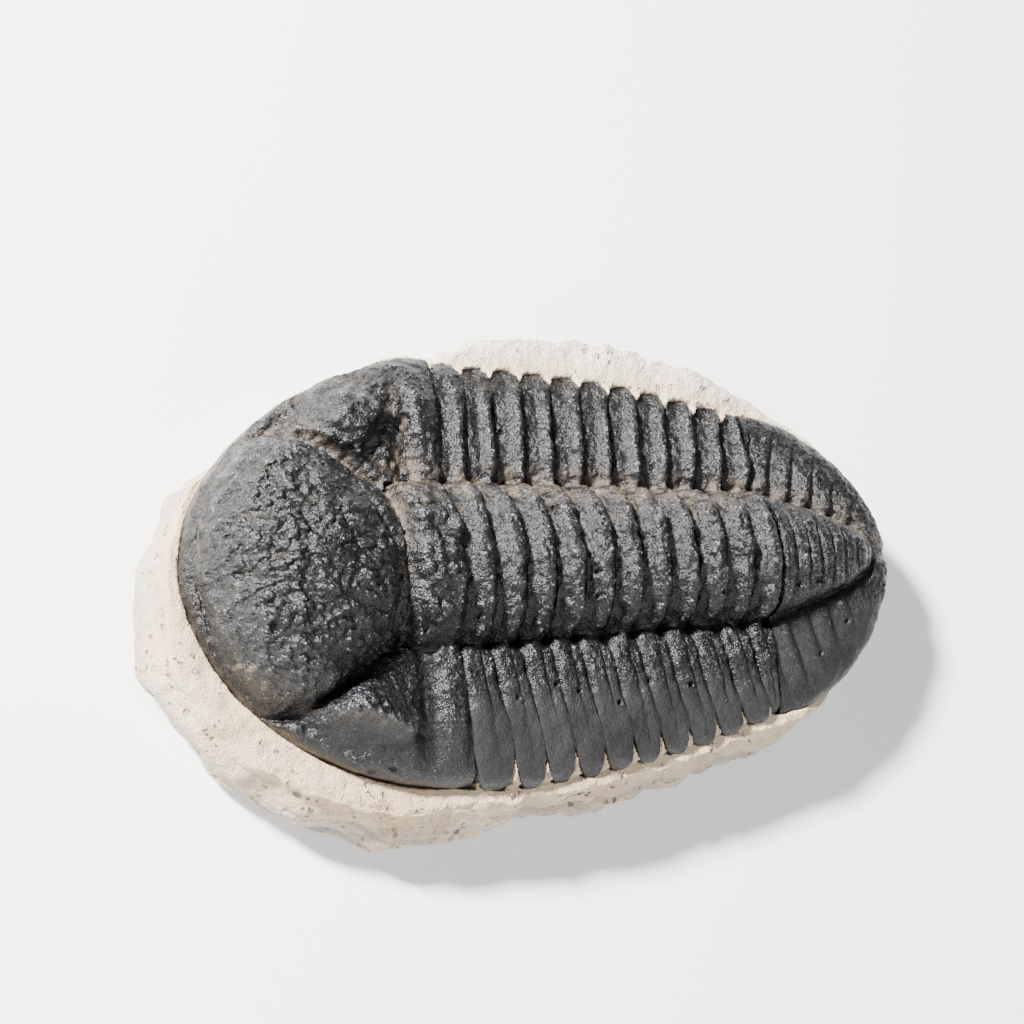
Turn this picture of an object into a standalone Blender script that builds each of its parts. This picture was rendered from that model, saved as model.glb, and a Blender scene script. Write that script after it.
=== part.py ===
"""A fossil trilobite lying on the piece of pale limestone it was cleaned out of.

The shell is a head shield, eleven thorax segments and a tail shield. They lie one behind
the other on a flat bed of the stone, whose broken rim stands around them. The stone lies on
its flat underside. X runs from head to tail, Y across the animal and Z up.

Sizes are millimetres in the animal's own frame, whose height 0 is the bed under the shell.
"""

import random
from math import atan2, cos, degrees, pi, sin, sqrt

import bmesh
import bpy
from mathutils import Vector

MM = 0.001
GAP = 0.3            # clearance between two pieces that touch

# Head shield
HEAD_REAR = -28.9    # joint with the first segment, measured at the axial furrow
HEAD_LENGTH = 40.5   # from that joint to the front edge
HEAD_HALF_WIDTH = 33.6
HEAD_ROUNDNESS = 1.85
HEAD_CENTRE = -47.0
OCCIPITAL = -38.4    # groove that closes the middle lobe off from the neck ring
# Half-width and crown height of the swollen middle lobe at some places along X
LOBE_WIDTH = ((-68.2, 0.1), (-67.4, 6.0), (-66.0, 11.0), (-63.5, 16.2), (-60.5, 19.8),
              (-56.5, 21.6), (-51.5, 20.4), (-45.5, 16.0), (-38.4, 11.8))
LOBE_CROWN = ((-68.2, 4.2), (-67.0, 8.0), (-65.0, 12.2), (-62.0, 16.0), (-58.0, 19.0),
              (-52.0, 20.4), (-46.0, 19.6), (-41.0, 17.2), (-38.4, 14.0))
EYES = ((-44.0, -20.6), (-44.5, 21.4))
EYE_LENGTH = 9.0
EYE_WIDTH = 7.4
EYE_TOP = 15.4

# Thorax
SEGMENTS = 11
PITCH = 5.26         # length of one segment along the axis
AXIS_HALF_WIDTH = 12.6
AXIS_TAPER = 0.18    # narrowing of the axis per segment
AXIS_RISE = 7.0      # ring above the axial furrow
FURROW_HEIGHT = 9.5
FURROW_FALL = 0.31   # lowering of the furrow per segment
RIM_HEIGHT = 2.0     # thickness of the shell's free edge
NEAR_SWEEP = 4.3     # how far the tips trail behind the furrow, -Y side
FAR_SWEEP = 2.8      # the same on the +Y side
RING_GROOVE = 2.3    # depth of the groove between two rings

# Tail shield
TAIL_LENGTH = 26.7
TAIL_HALF_WIDTH = 26.1
TAIL_ROUNDNESS = 1.75
TAIL_RINGS = 7
TAIL_CENTRE = 38.5
TAIL_AXIS_WIDTH = ((28.0, 10.6), (38.0, 7.9), (46.0, 5.2), (50.0, 3.2), (51.5, 1.2))
TAIL_AXIS_TOP = ((28.0, 12.8), (34.0, 11.6), (42.0, 9.4), (48.0, 7.2), (50.5, 5.2), (51.5, 3.8))

# Stone
STONE_HEIGHT = 14.0  # underside to the bed under the shell
FAR_BURIAL = 0.925   # the +Y tips run under the stone's rim, so they show narrower
NEAR_RIM = 1.3       # stone rim above the bed, -Y side
FAR_RIM = 3.4        # stone rim above the bed, +Y side
# Read by the angle round the specimen in degrees: tail 0, +Y side 90, head 180
FLANGE = ((0, -1.6), (9, -1.2), (12, 0.6), (14, 0.6), (18, 1.5), (26, 2.4), (36, 4.6),
          (52, 5.4), (75, 5.8), (97, 5.2), (112, 2.2), (117, 0.6), (125, 0.6), (131, -1.2),
          (160, -1.4), (165, 0.6), (168, 0.6), (174, 1.6), (181, 2.8), (190, 5.4), (198, 6.4),
          (215, 6.2), (226, 5.4), (241, 3.4), (256, 2.5), (290, 2.5), (325, 2.4), (333, 1.8),
          (338, 0.6), (342, 0.6), (350, -1.2), (360, -1.6))
BULGE = ((0, -1.0), (40, -0.5), (120, -0.5), (168, 0.0), (182, 1.4), (200, 1.0),
         (215, 1.9), (230, 4.2), (245, 3.0), (262, 2.2), (285, 2.0), (312, 2.8),
         (330, 2.0), (345, 0.0), (360, -1.0))
BASE = ((0, -4.5), (60, -3.5), (120, -4.0), (180, -3.0), (230, -0.5), (300, -1.5), (360, -4.5))


def midline(x):
    """The animal lies very slightly askew on the X axis."""
    return 0.15 - 0.014 * x


def blend(value, low, high):
    """0 below low, 1 above high, smooth between."""
    t = min(1.0, max(0.0, (value - low) / (high - low)))
    return t * t * (3 - 2 * t)


def through(x, points):
    """Straight-line reading of a short list of (x, value) points."""
    if x <= points[0][0]:
        return points[0][1]
    for (x0, v0), (x1, v1) in zip(points, points[1:]):
        if x <= x1:
            return v0 + (v1 - v0) * (x - x0) / (x1 - x0)
    return points[-1][1]


# Plan of the shell

def half_width(x, side):
    """Distance from the midline to the shell's free edge; side is -1 or +1."""
    if x < HEAD_REAR:
        u = min(1.0, (HEAD_REAR - x) / HEAD_LENGTH)
        return HEAD_HALF_WIDTH * (1 - u ** HEAD_ROUNDNESS) ** (1 / HEAD_ROUNDNESS)
    back = x + 20
    thorax = 34.7 - 0.05 * back - 0.0026 * back * back
    thorax -= 1.1 * (1 - blend(x, HEAD_REAR, -20))
    start = HEAD_REAR + SEGMENTS * PITCH
    if x > start:
        u = min(1.0, (x - start) / TAIL_LENGTH)
        thorax = TAIL_HALF_WIDTH * (1 - u ** TAIL_ROUNDNESS) ** (1 / TAIL_ROUNDNESS)
    buried = 1 - (1 - FAR_BURIAL) * blend(x, HEAD_REAR, -20)
    return thorax * (buried if side > 0 else 1.0)


def furrow_x(joint):
    return HEAD_REAR + PITCH * joint


def axis_half(joint):
    return AXIS_HALF_WIDTH - AXIS_TAPER * joint


def tip_edge(joint, side):
    """Half-width out to the rib tips that belong to a joint; they trail behind it."""
    sweep = FAR_SWEEP if side > 0 else NEAR_SWEEP
    return half_width(furrow_x(joint) + 0.8 * sweep, side)


def notch_depth(joint, side):
    """How far the cleft between two tips reaches in from the edge."""
    deep = 4.6 - 0.22 * joint
    return deep if side < 0 else 0.5 * deep


def joint_x(joint, y):
    """Where joint 0 (behind the head) to 11 (before the tail) crosses a given y."""
    x = furrow_x(joint)
    off = y - midline(x)
    side = 1 if off > 0 else -1
    sweep = FAR_SWEEP if side > 0 else NEAR_SWEEP
    if joint == 0:
        sweep = 2.0
    if joint == SEGMENTS:
        sweep = 0.8
    inner, outer = axis_half(joint), tip_edge(joint, side)
    u = max(0.0, (abs(off) - inner) / (outer - inner))
    return x + sweep * u ** 1.6


# Height of the shell

def arch(joint, off):
    """Height across the body at one place along it: ring, furrow, level rib, steep flank."""
    inner = axis_half(joint)
    floor = FURROW_HEIGHT - FURROW_FALL * joint
    q = abs(off) / inner
    if q < 1:
        return floor + AXIS_RISE * (1 - q ** 2.2) ** 0.62
    outer = tip_edge(joint, 1 if off > 0 else -1)
    u = min(1.0, (abs(off) - inner) / (outer - inner))
    bulge = 0.9 * sin(pi * min(1.0, u / 0.75))
    return RIM_HEIGHT + (floor - RIM_HEIGHT) * sqrt(max(0.0, 1 - u ** 2.6)) + bulge * (1 - u)


def head_height(x, y):
    """Middle lobe, eyes, cheeks and edge roll of the head shield."""
    off = y - midline(x)
    u = max(0.0, (HEAD_REAR - x) / HEAD_LENGTH)
    rho = (u ** HEAD_ROUNDNESS + (abs(off) / HEAD_HALF_WIDTH) ** HEAD_ROUNDNESS)
    rho = min(1.0, rho ** (1 / HEAD_ROUNDNESS))
    steepness = 3.0 if off > 0 else 2.3
    cheek = RIM_HEIGHT + 7.6 * sqrt(1 - max(0.0, (rho - 0.45) / 0.55) ** steepness)
    roll = blend(rho, 0.84, 0.90) * (1 - blend(rho, 0.92, 0.97)) * blend(x, -40, -58)
    cheek -= 1.5 * roll

    lobe = through(x, LOBE_WIDTH)
    crown = through(x, LOBE_CROWN)
    beside = abs(off) - lobe
    furrow = 2.6 * (1 - blend(abs(beside), 0.0, 3.2)) * blend(x, -66, -60)
    height = cheek - furrow * (1 - blend(x, -40.0, -38.0))

    for eye_x, eye_y in EYES:
        r = sqrt(((x - eye_x) / EYE_LENGTH) ** 2 + ((off - eye_y) / EYE_WIDTH) ** 2)
        if r < 1:
            lump = (EYE_TOP - 6.5) * (1 - r ** 2.8) ** 0.6 * blend(beside, -0.4, 3.4)
            height = max(height, 6.5 + lump)

    if x < OCCIPITAL and beside < 0:
        low = min(height, 8.2)
        height = low + (crown - low) * (1 - (abs(off) / lobe) ** 2.5) ** 0.66
    elif x >= OCCIPITAL and abs(off) < axis_half(0):
        groove = 2.8 * (1 - blend(x, OCCIPITAL, OCCIPITAL + 2.6))
        groove += 1.5 * blend(x, HEAD_REAR - 1.6, HEAD_REAR)
        height = max(7.0, arch(0, off) - groove)
    elif x >= OCCIPITAL:
        height += 1.0 * blend(x, -34.0, -31.5) - 1.0 * blend(x, -38.0, -35.0)
    return height


def tail_height(x, y):
    """Ringed axis and faintly ribbed flanks of the tail shield."""
    start = furrow_x(SEGMENTS)
    off = y - midline(x)
    side = 1 if off > 0 else -1
    u = max(0.0, (x - start) / TAIL_LENGTH)
    wide = TAIL_HALF_WIDTH * (FAR_BURIAL if side > 0 else 1.0)
    rho = min(1.0, (u ** TAIL_ROUNDNESS + (abs(off) / wide) ** TAIL_ROUNDNESS) ** (1 / TAIL_ROUNDNESS))
    field = RIM_HEIGHT + 4.3 * sqrt(max(0.0, 1 - rho ** 2.6))
    ribs = 0.45 if side > 0 else 0.2
    field += ribs * sin(2 * pi * (x - 0.25 * abs(off)) / 4.6) * (1 - rho)

    inner = through(x, TAIL_AXIS_WIDTH)
    if abs(off) < inner + 2.0:
        field -= 0.9 * (1 - blend(abs(abs(off) - inner), 0.0, 2.0)) * blend(x, start - 6, start)
    if abs(off) < inner:
        top = through(x, TAIL_AXIS_TOP)
        ringed = 0.4 * cos(2 * pi * (x - start) / (22.0 / TAIL_RINGS))
        field += (top - field - ringed) * (1 - (abs(off) / inner) ** 2.3) ** 0.6
    return field


# Mesh building

# Places of a shield's rings: 1 is its edge, 0 the foot of its raised middle, -1 its centre
OUTER_RINGS = (1.0, 0.965, 0.90, 0.81, 0.70, 0.57, 0.43, 0.28, 0.14, 0.03)
INNER_RINGS = (-0.03, -0.12, -0.27, -0.46, -0.70)


def material(name, colour, roughness):
    mat = bpy.data.materials.new(name)
    mat.use_nodes = True
    shader = mat.node_tree.nodes["Principled BSDF"]
    shader.inputs["Base Color"].default_value = (*colour, 1.0)
    shader.inputs["Roughness"].default_value = roughness
    shader.inputs["Metallic"].default_value = 0.0
    return mat


def loft(name, loops, mat, parent, fan=True):
    """Skin equal loops of points into one closed body; a fan or a flat face ends it."""
    bm = bmesh.new()
    rows = [[bm.verts.new(Vector(p) * MM) for p in loop] for loop in loops]
    count = len(rows[0])
    for low, high in zip(rows, rows[1:]):
        for k in range(count):
            n = (k + 1) % count
            bm.faces.new((low[k], low[n], high[n], high[k]))
    for row in (rows[0], rows[-1]):
        edges = [bm.edges.get((row[k], row[(k + 1) % count])) for k in range(count)]
        cap = bmesh.ops.contextual_create(bm, geom=edges)["faces"]
        if fan:
            bmesh.ops.poke(bm, faces=cap)
        else:
            bmesh.ops.triangulate(bm, faces=cap)
    bmesh.ops.recalc_face_normals(bm, faces=bm.faces)
    mesh = bpy.data.meshes.new(name)
    bm.to_mesh(mesh)
    bm.free()
    mesh.materials.append(mat)
    mesh.shade_smooth()
    mesh.set_sharp_from_angle(angle=0.9)
    piece = bpy.data.objects.new(name, mesh)
    bpy.context.collection.objects.link(piece)
    piece.parent = parent
    return piece


# Thorax segments

def tip_narrowing(off, side, joint):
    """Share of the full segment length left at this distance out: the tips are rounded."""
    edge = tip_edge(joint, side)
    deep = notch_depth(joint, side)
    t = (abs(off) - (edge - deep)) / deep
    return through(t, ((0.0, 1.0), (0.3, 0.88), (0.6, 0.70), (0.85, 0.50), (1.0, 0.28)))


def segment(index, mat, parent):
    """One ring with its two ribs: raised behind its middle, dropping sharply to the next."""
    middle = index + 0.5
    loops = []
    for side in (-1, 1):
        edge = tip_edge(middle, side)
        deep = notch_depth(middle, side)
        cleft = edge - deep
        inner = axis_half(middle)
        outs = [edge, edge - 0.45 * deep, cleft,
                0.45 * cleft + 0.55 * inner, inner + 0.8, inner, 0.80 * inner, 0.42 * inner]
        loops += [(side * o) for o in (outs if side < 0 else reversed(outs))]
    loops.insert(len(loops) // 2, 0.0)

    rings = []
    for off in loops:
        y = off + midline(furrow_x(middle))
        side = 1 if off > 0 else -1
        front = joint_x(index, y) + 0.65 * GAP
        rear = joint_x(index + 1, y) - 0.65 * GAP
        mid, half = (front + rear) / 2, (rear - front) / 2
        half *= tip_narrowing(off, side, middle)
        top = arch(middle, off)
        on_ring = 1 - blend(abs(off), axis_half(middle) - 1.5, axis_half(middle) + 1.5)
        dip = RING_GROOVE * (0.45 + 0.55 * on_ring) * min(1.0, (top - 1.0) / 6.0)
        profile = ((-1.0, dip), (-0.45, dip * (0.75 - 0.45 * on_ring)), (0.15, 0.1),
                   (0.62, 0.0), (1.0, dip * 0.9))
        ring = [(mid + u * half, y, max(0.9, top - d)) for u, d in profile]
        ring += [(mid + half, y, 0.0), (mid - half, y, 0.0)]
        rings.append(ring)
    return loft(f"thorax_segment_{index + 1:02d}", rings, mat, parent)


# Head and tail shields

def swelling_share(x, y, centre, inside):
    """How far out along the line from the centre to an edge point the raised middle ends."""
    cx, cy = centre
    for step in range(1, 100):
        share = step / 100
        if not inside(cx + (x - cx) * share, cy + (y - cy) * share):
            return share
    return 0.8


def shield(name, outline, centre, inside, height, mat, parent):
    """Closed cap over an outline, flat underneath.

    Its rings crowd together where the raised middle meets the flanks, so the furrow there
    is a clean line.
    """
    cx, cy = centre
    loops = [[(x, y, 0.0) for x, y in outline]]
    ends = [swelling_share(x, y, centre, inside) for x, y in outline]
    for level in OUTER_RINGS + INNER_RINGS:
        ring = []
        for (x, y), end in zip(outline, ends):
            share = end + (1 - end) * level if level > 0 else end * (1 + level)
            px, py = cx + (x - cx) * share, cy + (y - cy) * share
            ring.append((px, py, max(0.9, height(px, py))))
        loops.append(ring)
    return loft(name, loops, mat, parent)


def in_lobe(x, y):
    return x < OCCIPITAL and abs(y - midline(x)) < through(x, LOBE_WIDTH)


def in_tail_axis(x, y):
    return abs(y - midline(x)) < through(x, TAIL_AXIS_WIDTH)


def head_outline():
    """Rounded front edge, then back along the joint with the first segment."""
    front = []
    for k in range(45):
        a = pi * k / 44
        c, s = abs(cos(a)) ** (2 / HEAD_ROUNDNESS), abs(sin(a)) ** (2 / HEAD_ROUNDNESS)
        x = HEAD_REAR + 0.6 - (HEAD_LENGTH + 0.6) * s
        off = HEAD_HALF_WIDTH * c * (-1 if a < pi / 2 else 1)
        front.append((x, off + midline(x)))
    rear = []
    for off in (29.5, 24.5, 19, 14, 12, 9, 5, 0, -5, -9, -12, -14, -19, -24.5, -29.5):
        y = off + midline(HEAD_REAR)
        rear.append((joint_x(0, y) - 0.65 * GAP, y))
    return front + rear


def tail_outline():
    """Back along the joint with the last segment, then the rounded hind edge."""
    start = furrow_x(SEGMENTS)
    hind = []
    for k in range(27):
        a = pi * k / 26
        c, s = abs(cos(a)) ** (2 / TAIL_ROUNDNESS), abs(sin(a)) ** (2 / TAIL_ROUNDNESS)
        x = start + 1.3 + (TAIL_LENGTH - 1.3) * s
        off = TAIL_HALF_WIDTH * c * (FAR_BURIAL if a < pi / 2 else -1)
        hind.append((x, off + midline(x)))
    front = []
    for off in (-21, -16, -12, -10, -7, -3.5, 0, 3.5, 7, 10, 12, 16, 20):
        y = off + midline(start)
        front.append((joint_x(SEGMENTS, y) + 0.65 * GAP, y))
    return hind + front


# Stone

def free_edge(steps):
    """The shell's plain edge as closed (x, side) stations: -Y side tailward, +Y side back."""
    for k in range(steps):
        u = 0.5 * pi * k / steps
        yield HEAD_REAR - HEAD_LENGTH * cos(u) ** (2 / HEAD_ROUNDNESS), -1
    yield from ((furrow_x(joint), -1) for joint in range(SEGMENTS))
    start = furrow_x(SEGMENTS)
    for side, turn in ((-1, 1), (1, -1)):
        for k in range(1, steps)[::turn]:
            u = 0.5 * pi * k / steps
            yield start + TAIL_LENGTH * sin(u) ** (2 / TAIL_ROUNDNESS), side
        if side < 0:
            yield start + TAIL_LENGTH, 1
    yield from ((furrow_x(joint), 1) for joint in reversed(range(SEGMENTS)))
    for k in range(1, steps)[::-1]:
        u = 0.5 * pi * k / steps
        yield HEAD_REAR - HEAD_LENGTH * cos(u) ** (2 / HEAD_ROUNDNESS), 1


def edge_point(x, side):
    return Vector((x, side * half_width(x, side) + midline(x)))


def bed_stations():
    """(inner point, edge point) round the shell.

    Beside the thorax the inner line runs in between the tips, as the stone does.
    """
    stations = []
    for x, side in free_edge(22):
        joint = round((x - HEAD_REAR) / PITCH)
        if joint == 0 or x < HEAD_REAR or x > furrow_x(SEGMENTS):
            stations.append((None, edge_point(x, side)))
            continue
        depth = notch_depth(joint, side)
        thick, flank, point = (0.40, 0.42, 0.62) if side < 0 else (0.20, 0.20, 0.42)
        edge_y = side * tip_edge(joint, side) + midline(x)
        ahead = -0.33 * (joint_x(joint, edge_y) - joint_x(joint - 1, edge_y))
        behind = 0.33 * (joint_x(joint + 1, edge_y) - joint_x(joint, edge_y))
        spots = ((ahead, 0.0), (-thick, flank * depth), (0.0, point * depth),
                 (thick, flank * depth), (behind, 0.0))
        for shift, reach in spots if side < 0 else spots[::-1]:
            y = edge_y - side * reach
            along = joint_x(joint, y) + shift
            inner = Vector((along, y)) if reach else None
            stations.append((inner, edge_point(along, side)))
    return stations


def stone(mat, parent):
    """Broken slab: flat bed, a low rim beside the shell, ledged sides, flat underside."""
    stations = bed_stations()
    count = len(stations)
    chips = random.Random(11)
    loops = [[] for _ in range(8)]
    for k, (inner, edge) in enumerate(stations):
        along = stations[(k + 1) % count][1] - stations[k - 1][1]
        out = Vector((along.y, -along.x)).normalized()
        turn = degrees(atan2(edge.y, edge.x + 8)) % 360
        flange = through(turn, FLANGE)
        flush = 1 - blend(flange, -0.3, 0.6)
        raised = blend(flange, 0.6, 1.8)
        rim = FAR_RIM * blend(turn, 20, 45) * (1 - blend(turn, 112, 124))
        rim = max(rim, NEAR_RIM) * raised - (GAP + 0.1) * (1 - raised)
        if inner is None:
            inner = edge + out * (0.8 - 3.6 * flush)
        bulge = through(turn, BULGE)
        broken = edge + out * (max(flange, 1.2) * (1 - flush) + min(flange, -0.6) * flush)
        if (broken - inner).dot(out) < 0.5:
            broken = inner + out * 0.5
        rough = [0.35 * chips.uniform(-1, 1) + 0.5 * sin(turn / wave) for wave in (5.2, 3.7, 6.4, 4.4)]
        wall = inner - out * 0.3 * flush
        steps = ((broken + out * (through(turn, BASE) + rough[0]), -STONE_HEIGHT),
                 (broken + out * (0.75 * bulge + rough[1]), -10.5 + rough[0]),
                 (broken + out * (bulge + rough[2]), -7.5 + rough[1]),
                 (broken + out * (0.55 * bulge + rough[3]), -3.6 + rough[2]),
                 (broken, rim - 1.0 + rough[3] * (1 - flush)),
                 (inner.lerp(broken, 0.6), rim - 0.15),
                 (inner, rim), (wall, -GAP))
        for loop, (point, z) in zip(loops, steps):
            loop.append((point.x, point.y, z))
    return loft("matrix", loops, mat, parent, fan=False)


def centre_on_base(pieces, base):
    """Put the origin under the middle of the whole specimen, at the stone's underside."""
    corners = [v.co for piece in pieces for v in piece.data.vertices]
    low = [min(c[i] for c in corners) for i in range(3)]
    high = [max(c[i] for c in corners) for i in range(3)]
    base.location = (-(low[0] + high[0]) / 2, -(low[1] + high[1]) / 2, -low[2])


for leftover in list(bpy.data.objects):
    bpy.data.objects.remove(leftover)

specimen = bpy.data.objects.new("specimen", None)
bpy.context.collection.objects.link(specimen)

head_black = material("head_black", (0.030, 0.031, 0.034), 0.55)
rib_black = material("thorax_black", (0.034, 0.034, 0.036), 0.58)
tail_black = material("tail_black", (0.032, 0.032, 0.034), 0.58)
pale_stone = material("pale_limestone", (0.72, 0.67, 0.58), 0.9)

pieces = [stone(pale_stone, specimen)]
pieces.append(shield("head_shield", head_outline(), (HEAD_CENTRE, midline(HEAD_CENTRE)),
                     in_lobe, head_height, head_black, specimen))
for number in range(SEGMENTS):
    pieces.append(segment(number, rib_black, specimen))
pieces.append(shield("tail_shield", tail_outline(), (TAIL_CENTRE, midline(TAIL_CENTRE)),
                     in_tail_axis, tail_height, tail_black, specimen))
centre_on_base(pieces, specimen)
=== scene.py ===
from math import pi, radians

import bpy
import numpy as np
from mathutils import Matrix, Vector


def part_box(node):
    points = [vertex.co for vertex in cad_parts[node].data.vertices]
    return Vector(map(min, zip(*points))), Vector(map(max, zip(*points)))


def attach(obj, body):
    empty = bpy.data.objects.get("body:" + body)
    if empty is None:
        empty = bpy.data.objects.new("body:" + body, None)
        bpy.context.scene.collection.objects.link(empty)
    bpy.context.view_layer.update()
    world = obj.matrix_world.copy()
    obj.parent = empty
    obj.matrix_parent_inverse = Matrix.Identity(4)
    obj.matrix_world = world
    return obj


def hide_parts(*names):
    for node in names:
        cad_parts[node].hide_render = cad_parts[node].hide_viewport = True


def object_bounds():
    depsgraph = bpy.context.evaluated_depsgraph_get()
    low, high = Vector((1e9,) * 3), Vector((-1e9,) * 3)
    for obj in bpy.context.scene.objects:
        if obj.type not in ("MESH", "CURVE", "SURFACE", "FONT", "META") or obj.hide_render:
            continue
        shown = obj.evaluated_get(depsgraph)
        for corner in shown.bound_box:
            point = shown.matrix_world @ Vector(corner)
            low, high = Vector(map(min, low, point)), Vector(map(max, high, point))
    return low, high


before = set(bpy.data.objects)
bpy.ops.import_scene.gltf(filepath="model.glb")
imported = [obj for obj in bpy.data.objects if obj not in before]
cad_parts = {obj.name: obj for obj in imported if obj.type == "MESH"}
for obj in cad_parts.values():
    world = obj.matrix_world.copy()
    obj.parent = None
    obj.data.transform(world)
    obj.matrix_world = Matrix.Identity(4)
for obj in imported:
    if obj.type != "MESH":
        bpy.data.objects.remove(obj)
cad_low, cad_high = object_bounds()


# Limestone block
# The pale, chalky piece of the bed the trilobite was cleaned out of. It was broken round the
# animal by hand, so its flat top is a narrow shelf round the shell, its sides are ledged and
# chipped along the bedding, and thin wedges of it are left standing between the rib tips.

MM = 0.001
# The shell's plan, in millimetres: x runs from head to tail, off is measured from the midline
HEAD_REAR, HEAD_LENGTH, HEAD_HALF_WIDTH, HEAD_ROUNDNESS = -28.9, 40.5, 33.6, 1.85
SEGMENTS, PITCH = 11, 5.26
SHOULDER, BODY_HALF_WIDTH = -20, 34.7
AXIS_HALF_WIDTH, AXIS_TAPER = 12.6, 0.18
TAIL_LENGTH, TAIL_HALF_WIDTH, TAIL_ROUNDNESS = 26.7, 26.1, 1.75
TAIL_START = HEAD_REAR + SEGMENTS * PITCH
# Share of the far side's width that the stone leaves free
FAR_BURIAL = 0.925
# Heights above the bed the shell lies on, and how much the flank loses from joint to joint
RIM_HEIGHT, FLANK_HEIGHT, FLANK_DROP, RING_RISE = 2.0, 9.5, 0.31, 7.0
BED_CLEARANCE, BLOCK_HEIGHT = 0.3, 14.0
# Rim of the stone round the shell, and how high its wedges stand between the rib tips
FAR_RIM, LOW_RIM, NEAR_RIM_EXTRA = 3.4, 1.3, 1.2
NEAR_WEDGE_TOP, FAR_WEDGE_TOP = 8.5, 5.4

# Where the animal's own frame (millimetres, bed at 0) lies in the row frame
head_low, head_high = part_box("head_shield")
place = Vector((head_low.x + 0.0694, (head_low.y + head_high.y) / 2 - 0.000546, head_low.z))


def midline(x):
    return 0.15 - 0.014 * x


def smooth(value, low, high):
    t = np.clip((value - low) / (high - low), 0, 1)
    return t * t * (3 - 2 * t)


def eased(x, points, soft):
    """Reading of a short list of (place, value) points, its corners rounded over soft."""
    step = soft / 8
    fine = np.arange(points[0][0] - 3 * soft, points[-1][0] + 3 * soft, step)
    value = np.interp(fine, *zip(*points))
    weight = np.hanning(19)[1:-1]
    value = np.convolve(np.pad(value, 8, mode="edge"), weight / weight.sum(), "valid")
    return np.interp(x, fine, value)


def half_width(x, side):
    """Distance from the midline to the shell's free edge; side is -1 or +1."""
    x = np.asarray(x, float)
    u = np.clip((HEAD_REAR - x) / HEAD_LENGTH, 0, 1)
    head = HEAD_HALF_WIDTH * (1 - u ** HEAD_ROUNDNESS) ** (1 / HEAD_ROUNDNESS)
    back = x - SHOULDER
    waist = 1.1 * (1 - smooth(x, HEAD_REAR, SHOULDER))
    body = BODY_HALF_WIDTH - 0.05 * back - 0.0026 * back * back - waist
    v = np.clip((x - TAIL_START) / TAIL_LENGTH, 0, 1)
    tail = TAIL_HALF_WIDTH * (1 - v ** TAIL_ROUNDNESS) ** (1 / TAIL_ROUNDNESS)
    wide = np.where(x < HEAD_REAR, head, np.where(x > TAIL_START, tail, body))
    buried = 1 - (1 - FAR_BURIAL) * smooth(x, HEAD_REAR, SHOULDER)
    return wide * np.where(np.asarray(side) > 0, buried, 1.0)


def furrow_x(joint):
    return HEAD_REAR + PITCH * joint


def axis_half(joint):
    return AXIS_HALF_WIDTH - AXIS_TAPER * joint


def rib_sweep(side):
    """How far a rib's tip trails behind its root."""
    return np.where(np.asarray(side) > 0, 2.8, 4.3)


def sweep_of(joint, side):
    """The same for a joint: it runs straighter at the head and at the tail."""
    to_tail = np.where(joint > SEGMENTS - 0.5, 0.8, rib_sweep(side))
    return np.where(joint < 0.5, 2.0, to_tail)


def tip_edge(joint, side):
    """Distance from the midline to the rib tips at this joint."""
    return half_width(furrow_x(joint) + 0.8 * rib_sweep(side), side)


def joint_x(joint, off):
    """Place of a joint's bent line at this distance out."""
    side = np.where(off > 0, 1, -1)
    inner, outer = axis_half(joint), tip_edge(joint, side)
    u = np.clip((abs(off) - inner) / (outer - inner), 0, 1.1)
    return furrow_x(joint) + sweep_of(joint, side) * u ** 1.6


# Share of a rib's length left from the start of the cleft to the tip's end
NEAR_TIP = ((0, 1.0), (0.08, 0.93), (0.35, 0.86), (0.65, 0.76), (0.85, 0.58), (1.0, 0.28))
FAR_TIP = ((0, 1.0), (0.25, 0.93), (0.6, 0.80), (0.85, 0.58), (1.0, 0.24))


def tip_depth(joint, side):
    """How far the cleft between two tips reaches in from the edge."""
    uneven = 1 + 0.22 * np.sin(2.3 * joint + 1.0)
    return (5.2 - 0.16 * joint) * np.where(np.asarray(side) > 0, 0.55, uneven)


def tip_share(off, joint):
    """Share of a rib's full length left at this distance out: its tip is rounded."""
    side = np.where(off > 0, 1, -1)
    deep = tip_depth(joint, side)
    t = np.clip((abs(off) - (tip_edge(joint, side) - deep)) / deep, 0, 1)
    return np.where(off > 0, eased(t, FAR_TIP, 0.08), eased(t, NEAR_TIP, 0.08))


def body_arch(joint, off):
    """Height across the body: ring, furrow, level inner rib, steep flank."""
    inner = axis_half(joint)
    floor = FLANK_HEIGHT - FLANK_DROP * joint
    q = np.clip(abs(off) / inner, 0, 1)
    ring = RING_RISE * (1 - q ** 2.3) ** np.where(off > 0, 0.62, 0.80)
    outer = tip_edge(joint, np.where(off > 0, 1, -1))
    u = np.clip((abs(off) - inner) / (outer - inner), 0, 1)
    bulge = 0.9 * np.sin(pi * np.clip(u / 0.75, 0, 1)) * (1 - u)
    flank = RIM_HEIGHT + (floor - RIM_HEIGHT) * np.sqrt(1 - u ** 2.6) + bulge
    return np.where(q < 1, floor + ring, flank)


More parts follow.
